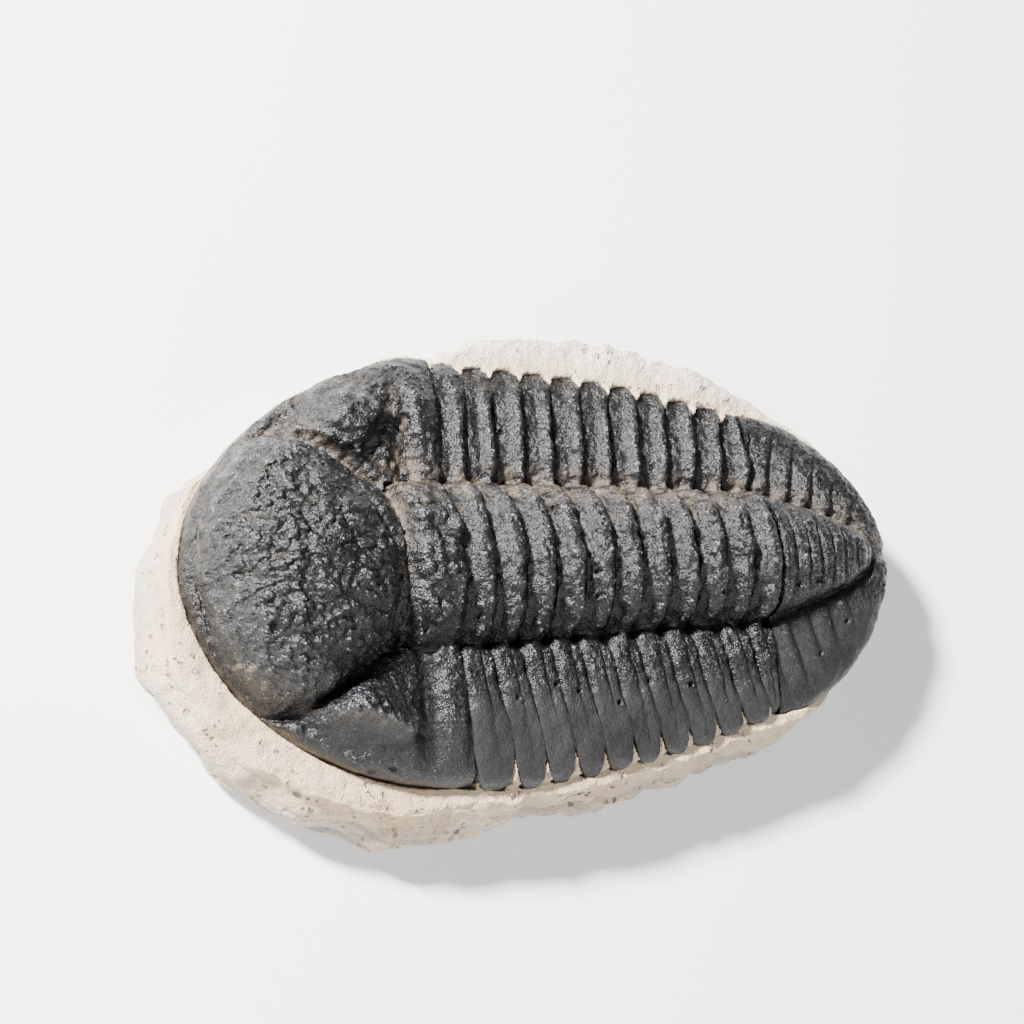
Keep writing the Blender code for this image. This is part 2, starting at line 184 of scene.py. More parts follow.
# Width of the shelf beside the shell, swell of the side below it, and how far the foot draws
# in, read by the angle round the block in degrees: tail 0, +Y side 90, head 180
SHELF = ((0, -1.6), (9, -1.2), (12, 0.6), (14, 0.6), (18, 1.5), (26, 2.8), (36, 5.6),
         (52, 7.2), (75, 7.9), (97, 7.4), (112, 3.6), (117, 0.6), (125, 0.6), (131, -1.2),
         (160, -1.4), (165, 0.6), (168, 0.6), (174, 1.6), (181, 2.8), (190, 5.4), (198, 6.4),
         (215, 6.2), (226, 5.4), (241, 3.4), (256, 2.5), (290, 2.5), (325, 2.4), (333, 1.8),
         (338, 0.6), (342, 0.6), (350, -1.2), (360, -1.6))
BULGE = ((0, -1.0), (40, -0.5), (120, -0.5), (168, 0.0), (182, 1.4), (200, 1.0),
         (215, 1.9), (230, 4.2), (245, 3.0), (262, 2.2), (285, 2.0), (312, 2.8),
         (330, 2.0), (345, 0.0), (360, -1.0))
FOOT = ((0, -4.5), (60, -3.5), (120, -4.0), (180, -3.0), (230, -0.5), (300, -1.5), (360, -4.5))
# Profile of the block from under the shell, over the shelf, down the side and in below:
# number of rows in each stretch
PROFILE_ROWS = (24, 9, 8, 11, 12, 10, 10, 3)


def shell_edge(count):
    """Evenly spaced points round the shell's plain edge: head, -Y side, tail, +Y side."""
    a = np.linspace(0, pi / 2, 500)
    x = np.concatenate([HEAD_REAR - HEAD_LENGTH * np.cos(a) ** (2 / HEAD_ROUNDNESS),
                        np.linspace(HEAD_REAR, TAIL_START, 400)[1:-1],
                        TAIL_START + TAIL_LENGTH * np.sin(a) ** (2 / TAIL_ROUNDNESS)])
    near = np.column_stack([x, midline(x) - half_width(x, -1)])
    far = np.column_stack([x, midline(x) + half_width(x, 1)])[::-1]
    loop = np.concatenate([near, far[1:]])
    run = np.concatenate([[0], np.cumsum(np.linalg.norm(np.diff(loop, axis=0), axis=1))])
    by_ribs = smooth(abs(loop[:, 0] - (HEAD_REAR + TAIL_START) / 2), 32, 30)
    run = np.concatenate([[0], np.cumsum(np.diff(run) * (1 + by_ribs[1:]))])
    at = np.arange(count) / count * run[-1]
    return np.column_stack([np.interp(at, run, loop[:, i]) for i in (0, 1)])


def bare_stone(x, off):
    """1 where the stone stands free beside the shell, 0 where a plate covers it."""
    side = np.where(off > 0, 1, -1)
    outside = smooth(abs(off) - half_width(x, side), -0.45, -0.05)
    u = np.clip((abs(off) - 12) / (half_width(x, side) - 12), 0, 1)
    joint = (x - sweep_of(5, side) * u ** 1.6 - HEAD_REAR) / PITCH
    nearest = np.clip(np.round(joint), 0, SEGMENTS)
    away = abs(joint - nearest)
    here = np.clip(np.floor(joint) + 0.5, 0.5, SEGMENTS - 0.5)
    open_half = 0.5 * (1 - tip_share(off, here))
    cleft = smooth(open_half - away, -0.03, 0.04)
    beside_ribs = (x > HEAD_REAR - 1) & (x < TAIL_START + 3)
    return np.maximum(outside, np.where(beside_ribs, cleft, 0.0))


def clear_selection():
    bpy.ops.object.select_all(action="DESELECT")


def set_points(piece, points):
    """Millimetres in the animal's frame into the mesh, kept inside the CAD box."""
    at = np.asarray(points, float) * MM + np.array(place)
    at = np.clip(at, np.array(cad_low), np.array(cad_high))
    piece.data.vertices.foreach_set("co", at.astype(np.float32).ravel())
    piece.data.update()


def get_points(piece):
    at = np.empty(len(piece.data.vertices) * 3, np.float32)
    piece.data.vertices.foreach_get("co", at)
    return (at.reshape(-1, 3).astype(float) - np.array(place)) / MM


def roughen(piece, size, depth, where, kind="CLOUDS"):
    """Lumps and hollows of this size and depth in millimetres, strongest where it says 1."""
    pattern = bpy.data.textures.new("roughness", kind)
    pattern.noise_scale = size * MM
    push = piece.modifiers.new("roughness", "DISPLACE")
    push.texture, push.texture_coords = pattern, "LOCAL"
    push.strength, push.mid_level = depth * MM, 0.5
    steps = 20
    zone = piece.vertex_groups.new(name="zone")
    levels = np.round(np.clip(where, 0, 1) * steps).astype(int)
    for level in range(1, steps + 1):
        zone.add(np.flatnonzero(levels == level).tolist(), level / steps, "REPLACE")
    push.vertex_group = "zone"
    bpy.context.view_layer.objects.active = piece
    bpy.ops.object.modifier_apply(modifier="roughness")
    piece.vertex_groups.clear()
    bpy.data.textures.remove(pattern)


def mark(piece, name, values):
    """A value at each point of the mesh, which the piece's material reads."""
    layer = piece.data.attributes.new(name, "FLOAT", "POINT")
    layer.data.foreach_set("value", np.clip(values, 0, 1).astype(np.float32))


def belongs(piece, node):
    """The piece rides the one rigid body and stands in for its plain solid."""
    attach(piece, "root")
    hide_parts(node)


# A drum with rows and stations enough for the profile, which is then laid over it
stations = 960
rows = sum(PROFILE_ROWS) + 1
clear_selection()
bpy.ops.mesh.primitive_cylinder_add(vertices=stations, radius=1, depth=2, end_fill_type="NGON")
block = bpy.context.object
block.name = "limestone_block"
bpy.ops.object.mode_set(mode="EDIT")
bpy.ops.mesh.select_mode(type="EDGE")
bpy.ops.mesh.select_all(action="DESELECT")
bpy.ops.object.mode_set(mode="OBJECT")
for line in block.data.edges:
    ends = [block.data.vertices[i].co.z for i in line.vertices]
    line.select = abs(ends[0] - ends[1]) > 1
bpy.ops.object.mode_set(mode="EDIT")
bpy.ops.mesh.subdivide_edgering(number_cuts=rows - 2, interpolation="LINEAR", smoothness=0)
bpy.ops.object.mode_set(mode="OBJECT")
drum = np.empty(len(block.data.vertices) * 3, np.float32)
block.data.vertices.foreach_get("co", drum)
drum = drum.reshape(-1, 3).astype(float)
r = np.round((1 - drum[:, 2]) / 2 * (rows - 1)).astype(int)
station = np.round(np.arctan2(drum[:, 1], drum[:, 0]) / (2 * pi) * stations).astype(int) % stations

edge = shell_edge(stations)
along = np.roll(edge, -6, axis=0) - np.roll(edge, 6, axis=0)
outward = np.column_stack([along[:, 1], -along[:, 0]])
outward /= np.linalg.norm(outward, axis=1)[:, None]
turn = np.degrees(np.arctan2(edge[:, 1], edge[:, 0] + 8)) % 360
chance = np.random.default_rng(7)


def wander(reach, waves):
    """A closed wavy line round the block, made of this many random waves."""
    spin = np.arange(stations) / stations * 2 * pi
    line = sum(chance.normal() * np.sin(w * spin + chance.uniform(0, 2 * pi)) / w ** 0.6
               for w in waves)
    return reach * line / line.std()


shelf = eased(turn, SHELF, 3.0)
flush = 1 - smooth(shelf, -0.3, 0.6)
raised = smooth(shelf, 0.6, 1.8)
rim = FAR_RIM * smooth(turn, 20, 45) * (1 - smooth(turn, 112, 124))
by_tips = smooth(turn, 226, 250) * (1 - smooth(turn, 325, 336))
rim = np.maximum(rim, LOW_RIM + NEAR_RIM_EXTRA * by_tips) * raised - 0.4 * (1 - raised)
broken = np.maximum(shelf, 1.2) * (1 - flush) + np.minimum(shelf, -0.6) * flush
broken += wander(0.22, range(14, 60)) * (0.4 + 0.6 * raised) - 0.1
bulge, foot = eased(turn, BULGE, 5.0), eased(turn, FOOT, 8.0)
start_in = np.where(flush > 0.5, -7.5, -6.5)
# Corners of the profile: distance out from the shell's edge, and height
profile = [
    (start_in, np.full(stations, -BED_CLEARANCE)),
    (-0.4 * flush - 0.3, rim),
    (0.6 * broken + wander(0.15, range(20, 60)), rim + 0.05 - 0.5 * by_tips),
    (broken - 0.15, rim - 0.25 - 1.3 * by_tips + wander(0.12, range(10, 50))),
    (broken + 0.55 * bulge + wander(0.3, range(8, 40)), -3.6 + wander(0.4, range(6, 30))),
    (broken + bulge + wander(0.35, range(8, 50)), -7.5 + wander(0.4, range(6, 30))),
    (broken + 0.75 * bulge + wander(0.4, range(8, 50)), -10.5 + wander(0.3, range(6, 30))),
    (broken + foot + wander(0.45, range(8, 50)), np.full(stations, -BLOCK_HEIGHT)),
    (broken + foot - 3.0, np.full(stations, -BLOCK_HEIGHT)),
]
reach_rows, height_rows = [], []
for (r0, z0), (r1, z1), count in zip(profile, profile[1:], PROFILE_ROWS):
    for k in range(count):
        reach_rows.append(r0 + (r1 - r0) * k / count)
        height_rows.append(z0 + (z1 - z0) * k / count)
reach_rows.append(profile[-1][0])
height_rows.append(profile[-1][1])
reach_rows, height_rows = np.array(reach_rows), np.array(height_rows)
for k in range(2):
    reach_rows[1:-1] = (reach_rows[:-2] + 2 * reach_rows[1:-1] + reach_rows[2:]) / 4
reach, height = reach_rows[r, station], height_rows[r, station]
points = np.column_stack([edge[station] + outward[station] * reach[:, None], height])

# The upper rows lie under the shell or fill the clefts between its rib tips
x, off = points[:, 0], points[:, 1] - midline(points[:, 0])
upper = r < PROFILE_ROWS[0] + 2
middle_joint = np.clip((x - 3 - HEAD_REAR) / PITCH, 0, SEGMENTS)
standing = np.clip(body_arch(middle_joint, off) - 0.15, 0.4, NEAR_WEDGE_TOP)
standing = np.where(abs(off) > half_width(x, np.where(off > 0, 1, -1)) - 0.3, 0, standing)
bare = bare_stone(x, off) * (1 - flush[station])
standing = np.where(off > 0, np.minimum(standing, FAR_WEDGE_TOP), standing)
filled = np.maximum(rim[station], standing)
filled = rim[station] + (filled - rim[station]) * (r < PROFILE_ROWS[0] - 1)
points[:, 2] = np.where(upper, -BED_CLEARANCE + (filled + BED_CLEARANCE) * bare, points[:, 2])
set_points(block, points)

# Broken surface: fresh stone everywhere but on the flat foot and under the shell
open_side = smooth(r, PROFILE_ROWS[0] - 2, PROFILE_ROWS[0] + 6)
on_foot = height <= -BLOCK_HEIGHT + 0.01
free = np.where(on_foot, 0, open_side)
roughen(block, 14.0, 1.3, free)
roughen(block, 9.0, 2.2, free * smooth(-height, 0.5, 4.0), "VORONOI")
roughen(block, 5.0, 0.9, free)
roughen(block, 2.0, 0.55, free)
roughen(block, 0.9, 0.4, np.where(~on_foot & (bare > 0.5), 1.0, free))

# Bedding seams: the stone above each stands out a little, in some places only
points = get_points(block)
ledge = np.zeros(len(points))
for level, step in ((-1.6, 0.5), (-5.2, 0.9), (-8.6, 0.7), (-11.6, 0.5)):
    seam = (level + wander(0.45, range(2, 11)) + wander(0.12, range(30, 90)))[station]
    seen = np.clip(0.40 + wander(0.5, range(2, 16)), 0, 1)[station]
    ledge += step * seen * (smooth(seam - points[:, 2], -0.25, 0.25) - 0.5)
    ledge -= 0.4 * seen * np.exp(-((points[:, 2] - seam) / 0.22) ** 2)
side_face = smooth(r, sum(PROFILE_ROWS[:2]), sum(PROFILE_ROWS[:3])) * ~on_foot
points[:, :2] += outward[station] * (ledge * side_face)[:, None]
points[on_foot, 2] = -BLOCK_HEIGHT
set_points(block, points)

# Where the stone is soiled beside the shell, warmer, greyer low down or stained with ochre
mark(block, "beside_shell", (1 - smooth(reach, 0.5, 4.5)) * (points[:, 2] > -3))
mark(block, "warm_side", np.maximum(smooth(-points[:, 1], 0, 14), smooth(-points[:, 0], 55, 64)))
mark(block, "low_side", smooth(-points[:, 2], 1.5, 7.0))
stain = np.zeros(len(points))
for sx, sy, size in ((-5.5, 33.5, 2.5), (-4, 31, 2), (11, 32.5, 2.5), (17, 31.5, 2), (27, 25, 2),
                     (-50, -31, 3.0), (-38, -35, 3.0), (-63, -20, 2.5)):
    stain = np.maximum(stain, np.exp(-((points[:, 0] - sx) ** 2 + (points[:, 1] - sy) ** 2)
                                     / (2 * size ** 2)))
mark(block, "ochre_stain", stain)


def node_group(name, ins, outs):
    """An empty shader group with its sockets and its two end nodes."""
    group = bpy.data.node_groups.new(name, "ShaderNodeTree")
    for label, kind, value in ins:
        socket = group.interface.new_socket(label, in_out="INPUT", socket_type=kind)
        if value is not None:
            socket.default_value = value
    for label, kind in outs:
        group.interface.new_socket(label, in_out="OUTPUT", socket_type=kind)
    return group, group.nodes.new("NodeGroupInput"), group.nodes.new("NodeGroupOutput")


def add_node(tree, kind, links=None, **values):
    """One node; links gives its inputs from other sockets, values its plain settings."""
    node = tree.nodes.new(kind)
    for key, value in values.items():
        setattr(node, key, value)
    for key, source in (links or {}).items():
        target = node.inputs[key]
        if isinstance(source, bpy.types.NodeSocket):
            tree.links.new(source, target)
        else:
            target.default_value = source
    return node


def mixed(tree, factor, low, high):
    """Colour between low and high."""
    node = add_node(tree, "ShaderNodeMix", {0: factor, 6: low, 7: high}, data_type="RGBA")
    return node.outputs[2]


def sum_of(tree, a, b, operation="ADD", clamp=False):
    """Sum of two values, or another operation on them."""
    node = add_node(tree, "ShaderNodeMath", {0: a, 1: b}, operation=operation, use_clamp=clamp)
    return node.outputs[0]


def product(tree, a, b, clamp=False):
    return sum_of(tree, a, b, "MULTIPLY", clamp)


def spread(tree, value, low, high, to_low=0.0, to_high=1.0):
    """The value's range from low to high stretched over another, and held at its ends."""
    node = add_node(tree, "ShaderNodeMapRange",
                    {0: value, 1: low, 2: high, 3: to_low, 4: to_high})
    return node.outputs[0]


def noise_at(tree, vector, size_mm, detail=3.0, rough=0.55):
    """Soft blotches of about this size."""
    node = add_node(tree, "ShaderNodeTexNoise",
                    {"Vector": vector, "Scale": 1000 / size_mm, "Detail": detail,
                     "Roughness": rough})
    return node.outputs["Fac"]


# Fine grain, mottling and pores of a mineral surface, used by the stone and by the shell
grain, grain_in, grain_out = node_group(
    "mineral_grain",
    [("Vector", "NodeSocketVector", None), ("Pore Size", "NodeSocketFloat", 0.3)],
    [("Fine", "NodeSocketFloat"), ("Mottle", "NodeSocketFloat"), ("Patch", "NodeSocketFloat"),
     ("Grit", "NodeSocketFloat"), ("Pores", "NodeSocketFloat"), ("Sparkle", "NodeSocketFloat")])
where = grain_in.outputs["Vector"]
fine = noise_at(grain, where, 0.42, 3.0, 0.7)
mottle = noise_at(grain, where, 2.1, 4.0, 0.6)
patch = noise_at(grain, where, 11.0, 3.0, 0.5)
bent = add_node(grain, "ShaderNodeTexNoise", {"Vector": where, "Scale": 1100.0})
bent = add_node(grain, "ShaderNodeVectorMath",
                {0: bent.outputs["Color"], 1: (0.0016, 0.0016, 0.0016), 2: where},
                operation="MULTIPLY_ADD")
cells = add_node(grain, "ShaderNodeTexVoronoi", {"Vector": bent.outputs[0], "Scale": 720.0})
room = spread(grain, noise_at(grain, where, 1.6, 1.0), 0.35, 0.65, -0.25, 0.06)
hole = sum_of(grain, grain_in.outputs["Pore Size"], cells.outputs["Distance"], "SUBTRACT")
hole = spread(grain, sum_of(grain, hole, room), 0.0, 0.12)
some = spread(grain, noise_at(grain, where, 3.7, 2.0), 0.50, 0.62)
pores = product(grain, hole, some)
gritty = add_node(grain, "ShaderNodeTexVoronoi", {"Vector": where, "Scale": 3000.0})
grit = spread(grain, gritty.outputs["Distance"], 0.0, 0.75, 1.0, 0.0)
# Some grains are picked out as specks where the shell paints its glints
each = add_node(grain, "ShaderNodeSeparateColor", {"Color": gritty.outputs["Color"]})
sparkle = product(grain, spread(grain, each.outputs[0], 0.80, 0.97), grit)
for label, source in (("Fine", fine), ("Mottle", mottle), ("Patch", patch), ("Grit", grit),
                      ("Pores", pores), ("Sparkle", sparkle)):
    grain.links.new(source, grain_out.inputs[label])


def new_material(name, specular):
    """A material with the mineral grain group already in it."""
    mat = bpy.data.materials.new(name)
    mat.use_nodes = True
    tree = mat.node_tree
    shader = tree.nodes["Principled BSDF"]
    shader.inputs["Specular IOR Level"].default_value = specular
    spot = add_node(tree, "ShaderNodeTexCoord").outputs["Object"]
    texture = add_node(tree, "ShaderNodeGroup", node_tree=grain)
    tree.links.new(spot, texture.inputs["Vector"])
    return mat, tree, shader, texture


def value_of(tree, name):
    """The value that mark() left on the mesh."""
    return add_node(tree, "ShaderNodeAttribute", attribute_name=name).outputs["Fac"]


chalk, tree, shader, texture = new_material("chalky_limestone", 0.25)
texture.inputs["Pore Size"].default_value = 0.41
cream, white, grey = (0.70, 0.56, 0.40, 1), (0.90, 0.83, 0.72, 1), (0.34, 0.31, 0.28, 1)
colour = mixed(tree, spread(tree, texture.outputs["Mottle"], 0.36, 0.62), cream, white)
colour = mixed(tree, spread(tree, texture.outputs["Patch"], 0.40, 0.60, 0.0, 0.35), colour,
               (0.70, 0.64, 0.54, 1))
dirt = product(tree, value_of(tree, "beside_shell"),
               spread(tree, texture.outputs["Mottle"], 0.3, 0.6))
colour = mixed(tree, product(tree, dirt, 0.8), colour, (0.58, 0.43, 0.28, 1))
warm = product(tree, value_of(tree, "warm_side"),
               spread(tree, texture.outputs["Patch"], 0.3, 0.6, 0.6, 1.0))
colour = mixed(tree, warm, colour, (0.56, 0.41, 0.255, 1))
low = product(tree, value_of(tree, "low_side"),
              spread(tree, texture.outputs["Mottle"], 0.42, 0.58, 0.1, 0.85))
colour = mixed(tree, low, colour, (0.36, 0.355, 0.35, 1))
rust = product(tree, value_of(tree, "ochre_stain"),
               spread(tree, texture.outputs["Mottle"], 0.42, 0.66))
colour = mixed(tree, product(tree, rust, 0.8), colour, (0.50, 0.31, 0.15, 1))
colour = mixed(tree, spread(tree, texture.outputs["Fine"], 0.50, 0.66, 0.0, 0.80), colour, grey)
colour = mixed(tree, product(tree, texture.outputs["Pores"], 0.85), colour,
               (0.13, 0.10, 0.08, 1))
tree.links.new(colour, shader.inputs["Base Color"])
tree.links.new(spread(tree, texture.outputs["Fine"], 0.3, 0.7, 0.82, 0.96),
               shader.inputs["Roughness"])
relief = sum_of(tree, texture.outputs["Fine"], product(tree, texture.outputs["Mottle"], 1.2))
relief = sum_of(tree, relief, product(tree, texture.outputs["Grit"], 0.2))
relief = sum_of(tree, relief, product(tree, texture.outputs["Pores"], 2.0), "SUBTRACT")
bump = add_node(tree, "ShaderNodeBump", {"Height": relief, "Strength": 1.0,
                                         "Distance": 0.00045})
tree.links.new(bump.outputs[0], shader.inputs["Normal"])
block.data.materials.append(chalk)
bpy.ops.object.shade_smooth()
belongs(block, "matrix")


# Head shield
# The front plate of the animal's shell, turned to black mineral. Nearly all of it is one
# swollen, warty lobe; an eye stands on each cheek, a rolled border runs round the front and
# the neck ring lies behind. It still sits in the stone it was buried in.

# Where the neck ring starts, and the big lobe's half width and height on the way to it
NECK_START = -38.4
LOBE_WIDTH = ((-68.8, -3.0), (-67.8, 0.1), (-67.1, 5.6), (-65.7, 10.4), (-63.3, 15.2),
              (-60.3, 18.8), (-56.3, 20.8), (-51.0, 19.4), (-45.5, 15.6), (-40.2, 11.8),
              (-38.4, 11.0))
LOBE_CROWN = ((-67.8, 5.4), (-66.7, 8.4), (-64.9, 12.0), (-62.0, 15.7), (-58.0, 18.5),
              (-52.0, 19.8), (-46.0, 18.7), (-42.0, 17.0), (-39.8, 15.3), (-38.4, 14.2))
# Crest of the near eye over its lens face, and the edge where the far eye is broken off
NEAR_EYE = ((-50.8, -21.0), (-46.5, -21.6), (-42.0, -22.9), (-38.4, -24.0))
FAR_EYE_EDGE = ((17.0, -44.2), (18.5, -43.2), (23.0, -40.0), (27.0, -38.8), (31.0, -38.6))
# Arc under the near eye's lens face, and the row of granules along its crest
EYE_ARC = ((-53, -23.4), (-50.8, -25.0), (-47.2, -26.6), (-39.5, -27.2), (-36.5, -25.6))
EYE_GRANULES = ((-50.0, -21.0), (-48.4, -21.4), (-46.6, -21.8), (-44.7, -22.4), (-42.8, -23.1),
                (-41.0, -23.9), (-39.2, -24.6), (-45.6, -20.6), (-43.5, -21.4))
# Cracks and small furrows, the last one a ridge: their lines, half widths and depths
GROOVES = ((((-60.4, -20.2), (-57.5, -21.4), (-54.2, -21.6)), 0.42, 1.5),
           (((-62.5, -4.2), (-59.6, -3.6)), 0.3, 0.5),
           (((-51.5, 0.8), (-49.5, 1.9), (-47.4, 1.7)), 0.35, 0.45),
           (((-36.5, -7.2), (-36.2, -8.8), (-35.5, -10.4)), 0.4, 1.3),
           (((-44.6, 12.0), (-42.6, 6.5), (-40.2, 2.4), (-39.9, -4.0), (-40.4, -9.8)), 0.6, 0.8),
           (((-43.7, -30.0), (-42.6, -30.4)), 0.3, 0.6),
           (((-40.6, -30.0), (-39.6, -30.4)), 0.3, 0.6),
           (((-55.2, -9.9), (-51.9, -8.6), (-48.7, -7.4)), 0.45, -0.5))
# Places where the black is chipped and pale stone shows; the last five, on the near eye's
# granules, are painted glints
CHIP_AND_GLINT_SPOTS = ((-64.5, -2.7), (-63.4, -13.8), (-62.3, -14.5), (-60.5, -15.2), (-60.2, -16.8),
         (-61.2, -14.6), (-34.6, 22.4), (-49.7, -21.9), (-47.6, -22.4), (-45.7, -22.9),
         (-43.6, -23.9), (-40.4, -25.6))
# Colours of the shell: between its grains, on them, and the stone dust left on the head, which
# also colours the chips and paints the glints on the near eye's granules
DEEP_BLACK, GRAIN_BLACK = (0.0015, 0.0015, 0.0017, 1), (0.012, 0.012, 0.013, 1)
HEAD_DUST_AND_GLINT = (0.13, 0.100, 0.072, 1)
# Share of a quarter turn that a shield's rows cover, so that they stop short of its tip
CLOSE_TO_TIP = 0.9985


def plate(name, steps_along, steps_across):
    """A closed flat sheet: a grid whose rim is drawn down and filled below."""
    clear_selection()
    bpy.ops.mesh.primitive_grid_add(x_subdivisions=steps_along, y_subdivisions=steps_across,
                                    size=2)
    piece = bpy.context.object
    piece.name = name
    bpy.ops.object.mode_set(mode="EDIT")
    bpy.ops.mesh.select_mode(type="EDGE")
    bpy.ops.mesh.select_all(action="DESELECT")
    bpy.ops.mesh.select_non_manifold()
    bpy.ops.mesh.extrude_region_move(TRANSFORM_OT_translate={"value": (0, 0, -1)})
    bpy.ops.mesh.edge_face_add()
    bpy.ops.mesh.select_all(action="SELECT")
    bpy.ops.mesh.normals_make_consistent(inside=False)
    bpy.ops.object.mode_set(mode="OBJECT")
    at = np.empty(len(piece.data.vertices) * 3, np.float32)
    piece.data.vertices.foreach_get("co", at)
    at = at.reshape(-1, 3).astype(float)
    return piece, (at[:, 0] + 1) / 2, at[:, 1], at[:, 2] > -0.5


def lump(x, y, cx, cy, rx, ry, lean=0.0, power=2.0):
    """1 at its middle, 0 outside an oval of these radii turned by lean degrees."""
    c, s = np.cos(radians(lean)), np.sin(radians(lean))
    dx, dy = x - cx, y - cy
    q = np.hypot((dx * c + dy * s) / rx, (-dx * s + dy * c) / ry)
    return (1 - np.clip(q, 0, 1) ** power) ** 2


def to_line(x, y, line):
    """Distance to a bent line given by its corners."""
    best = np.full(np.shape(x), 1e9)
    for (x0, y0), (x1, y1) in zip(line, line[1:]):
        dx, dy = x1 - x0, y1 - y0
        t = np.clip(((x - x0) * dx + (y - y0) * dy) / (dx * dx + dy * dy), 0, 1)
        best = np.minimum(best, np.hypot(x - x0 - t * dx, y - y0 - t * dy))
    return best


def groove(x, y, line, width, depth):
    """Depth of a round-bottomed groove along a bent line."""
    return depth * np.exp(-(to_line(x, y, line) / width) ** 2)


def warts(x, y, count, zone, size, tall, seed):
    """Scattered low knobs of uneven size inside the box zone (x0, x1, y0, y1)."""
    pick = np.random.default_rng(seed)
    total = np.zeros(len(x))
    order = np.argsort(x)
    sorted_x = x[order]
    for _ in range(count):
        cx, cy = pick.uniform(*zone[:2]), pick.uniform(*zone[2:])
        radius = size * pick.uniform(0.6, 1.35)
        peak = tall * pick.uniform(0.4, 1.4)
        a, b = np.searchsorted(sorted_x, (cx - radius, cx + radius))
        near = order[a:b]
        q = np.hypot(x[near] - cx, (y[near] - cy) * pick.uniform(0.75, 1.3)) / radius
        total[near] = np.maximum(total[near], peak * np.clip(1 - q * q, 0, 1) ** 1.3)
    return total


def head_height(x, off):
    """Height of the head's surface above the bed."""
    u = np.clip((HEAD_REAR - x) / HEAD_LENGTH, 0, 1)
    rho = (u ** HEAD_ROUNDNESS + (abs(off) / HEAD_HALF_WIDTH) ** HEAD_ROUNDNESS)
    rho = np.clip(rho ** (1 / HEAD_ROUNDNESS), 0, 1)
    # Cheek: level near the eye, falling steeply to the rim, with a border furrow in front
    steep = np.where(off > 0, 3.0, 2.3)
    cheek = RIM_HEIGHT + 7.6 * np.sqrt(1 - np.clip((rho - 0.45) / 0.55, 0, 1) ** steep)
    front = smooth(-x, 40, 58)
    cheek -= 0.9 * smooth(rho, 0.84, 0.90) * (1 - smooth(rho, 0.92, 0.97)) * front
    cheek += 1.4 * lump(x, off, -33.5, 24.5, 8, 9)

    # Furrow between the cheek and the big lobe
    lobe = eased(x, LOBE_WIDTH, 1.0)
    crown = eased(x, LOBE_CROWN, 1.0)
    beside = abs(off) - lobe
    dip = np.where(off > 0, 0.9, 1.7) * (1 - smooth(abs(beside), 0.0, 3.0))
    dip *= 0.25 + 0.75 * smooth(x, -64, -54)
    height = cheek - dip * (1 - smooth(x, -40.0, -38.0))

    # Near eye: an upper slope out to a crest, a steep lens face and an arc below it
    crest = np.interp(x, *zip(*NEAR_EYE))
    far_from = to_line(x, off, NEAR_EYE) / np.where(off > crest, 4.6, 2.1)
    peak = eased(x, ((-54.0, 0.0), (-51.0, 3.0), (-47.0, 5.6), (-42.0, 3.9), (-36.0, 0.6)), 1.0)
    height = height + peak * np.exp(-far_from ** 2) * smooth(beside, -0.6, 2.4) * (off < 0)
    height -= groove(x, off, EYE_ARC, 1.2, 0.6)
    # Far eye: rises gently from the front and is broken off steeply behind, over a deep pit
    behind_edge = x - np.interp(off, *zip(*FAR_EYE_EDGE))
    eye = lump(x, off, -43.6, 22.8, 7.4, 6.8, 0, 3.0) * (1 - smooth(behind_edge, -0.6, 4.4))
    height = height + 4.6 * eye * smooth(beside, -0.4, 3.4)
    height += groove(x, off, ((-51.0, 21.6), (-46.7, 19.0), (-42.6, 17.0)), 0.7, 0.9)
    height -= 1.7 * lump(x, off, -34.2, 21.6, 2.0, 1.5, 40)

    # The big lobe itself, swollen over its own outline
    low = np.minimum(height, 8.2)
    steep = np.where(off > 0, 0.70, 0.84)
    swell = np.clip(1 - (abs(off) / np.maximum(lobe, 0.1)) ** 2.4, 0, 1) ** steep
    swell *= 1 - (1 - smooth(-beside, 0.0, 1.8)) * smooth(-x, 58, 63)
    dome = low + (crown - low) * swell
    height = np.where((x < NECK_START) & (beside < 0), dome, height)

    # Neck ring in the middle and the raised rear border on either side
    neck = body_arch(0, off) - 2.8 * (1 - smooth(x, NECK_START, NECK_START + 2.6))
    neck -= 1.7 * smooth(x, HEAD_REAR - 1.8, HEAD_REAR)
    ridge = smooth(x, -34.0, -31.5) - smooth(x, -38.0, -35.0)
    ridge = ridge - 0.7 * smooth(x, HEAD_REAR - 1.2, HEAD_REAR + 1.5)
    behind = height + ridge * smooth(32 - abs(off), 0, 4)
    back = np.where(abs(off) < axis_half(0), np.maximum(neck, 7.0), behind)
    return np.where(x >= NECK_START, back, height)


def surface_hollow(piece, columns, sheet, reach):
    """How far each point of the top sheet lies below (+) or above (-) the surface near it."""
    z = get_points(piece)[:, 2]
    values = np.zeros(len(z))
    field = z[sheet].reshape(columns)
    wide = field.copy()
    for axis in (0, 1):
        for _ in range(3):
            total = np.zeros_like(wide)
            for shift in range(-reach, reach + 1):
                index = np.clip(np.arange(wide.shape[axis]) + shift, 0, wide.shape[axis] - 1)
                total += np.take(wide, index, axis)
            wide = total / (2 * reach + 1)
    values[sheet] = (wide - field).ravel()
    return values


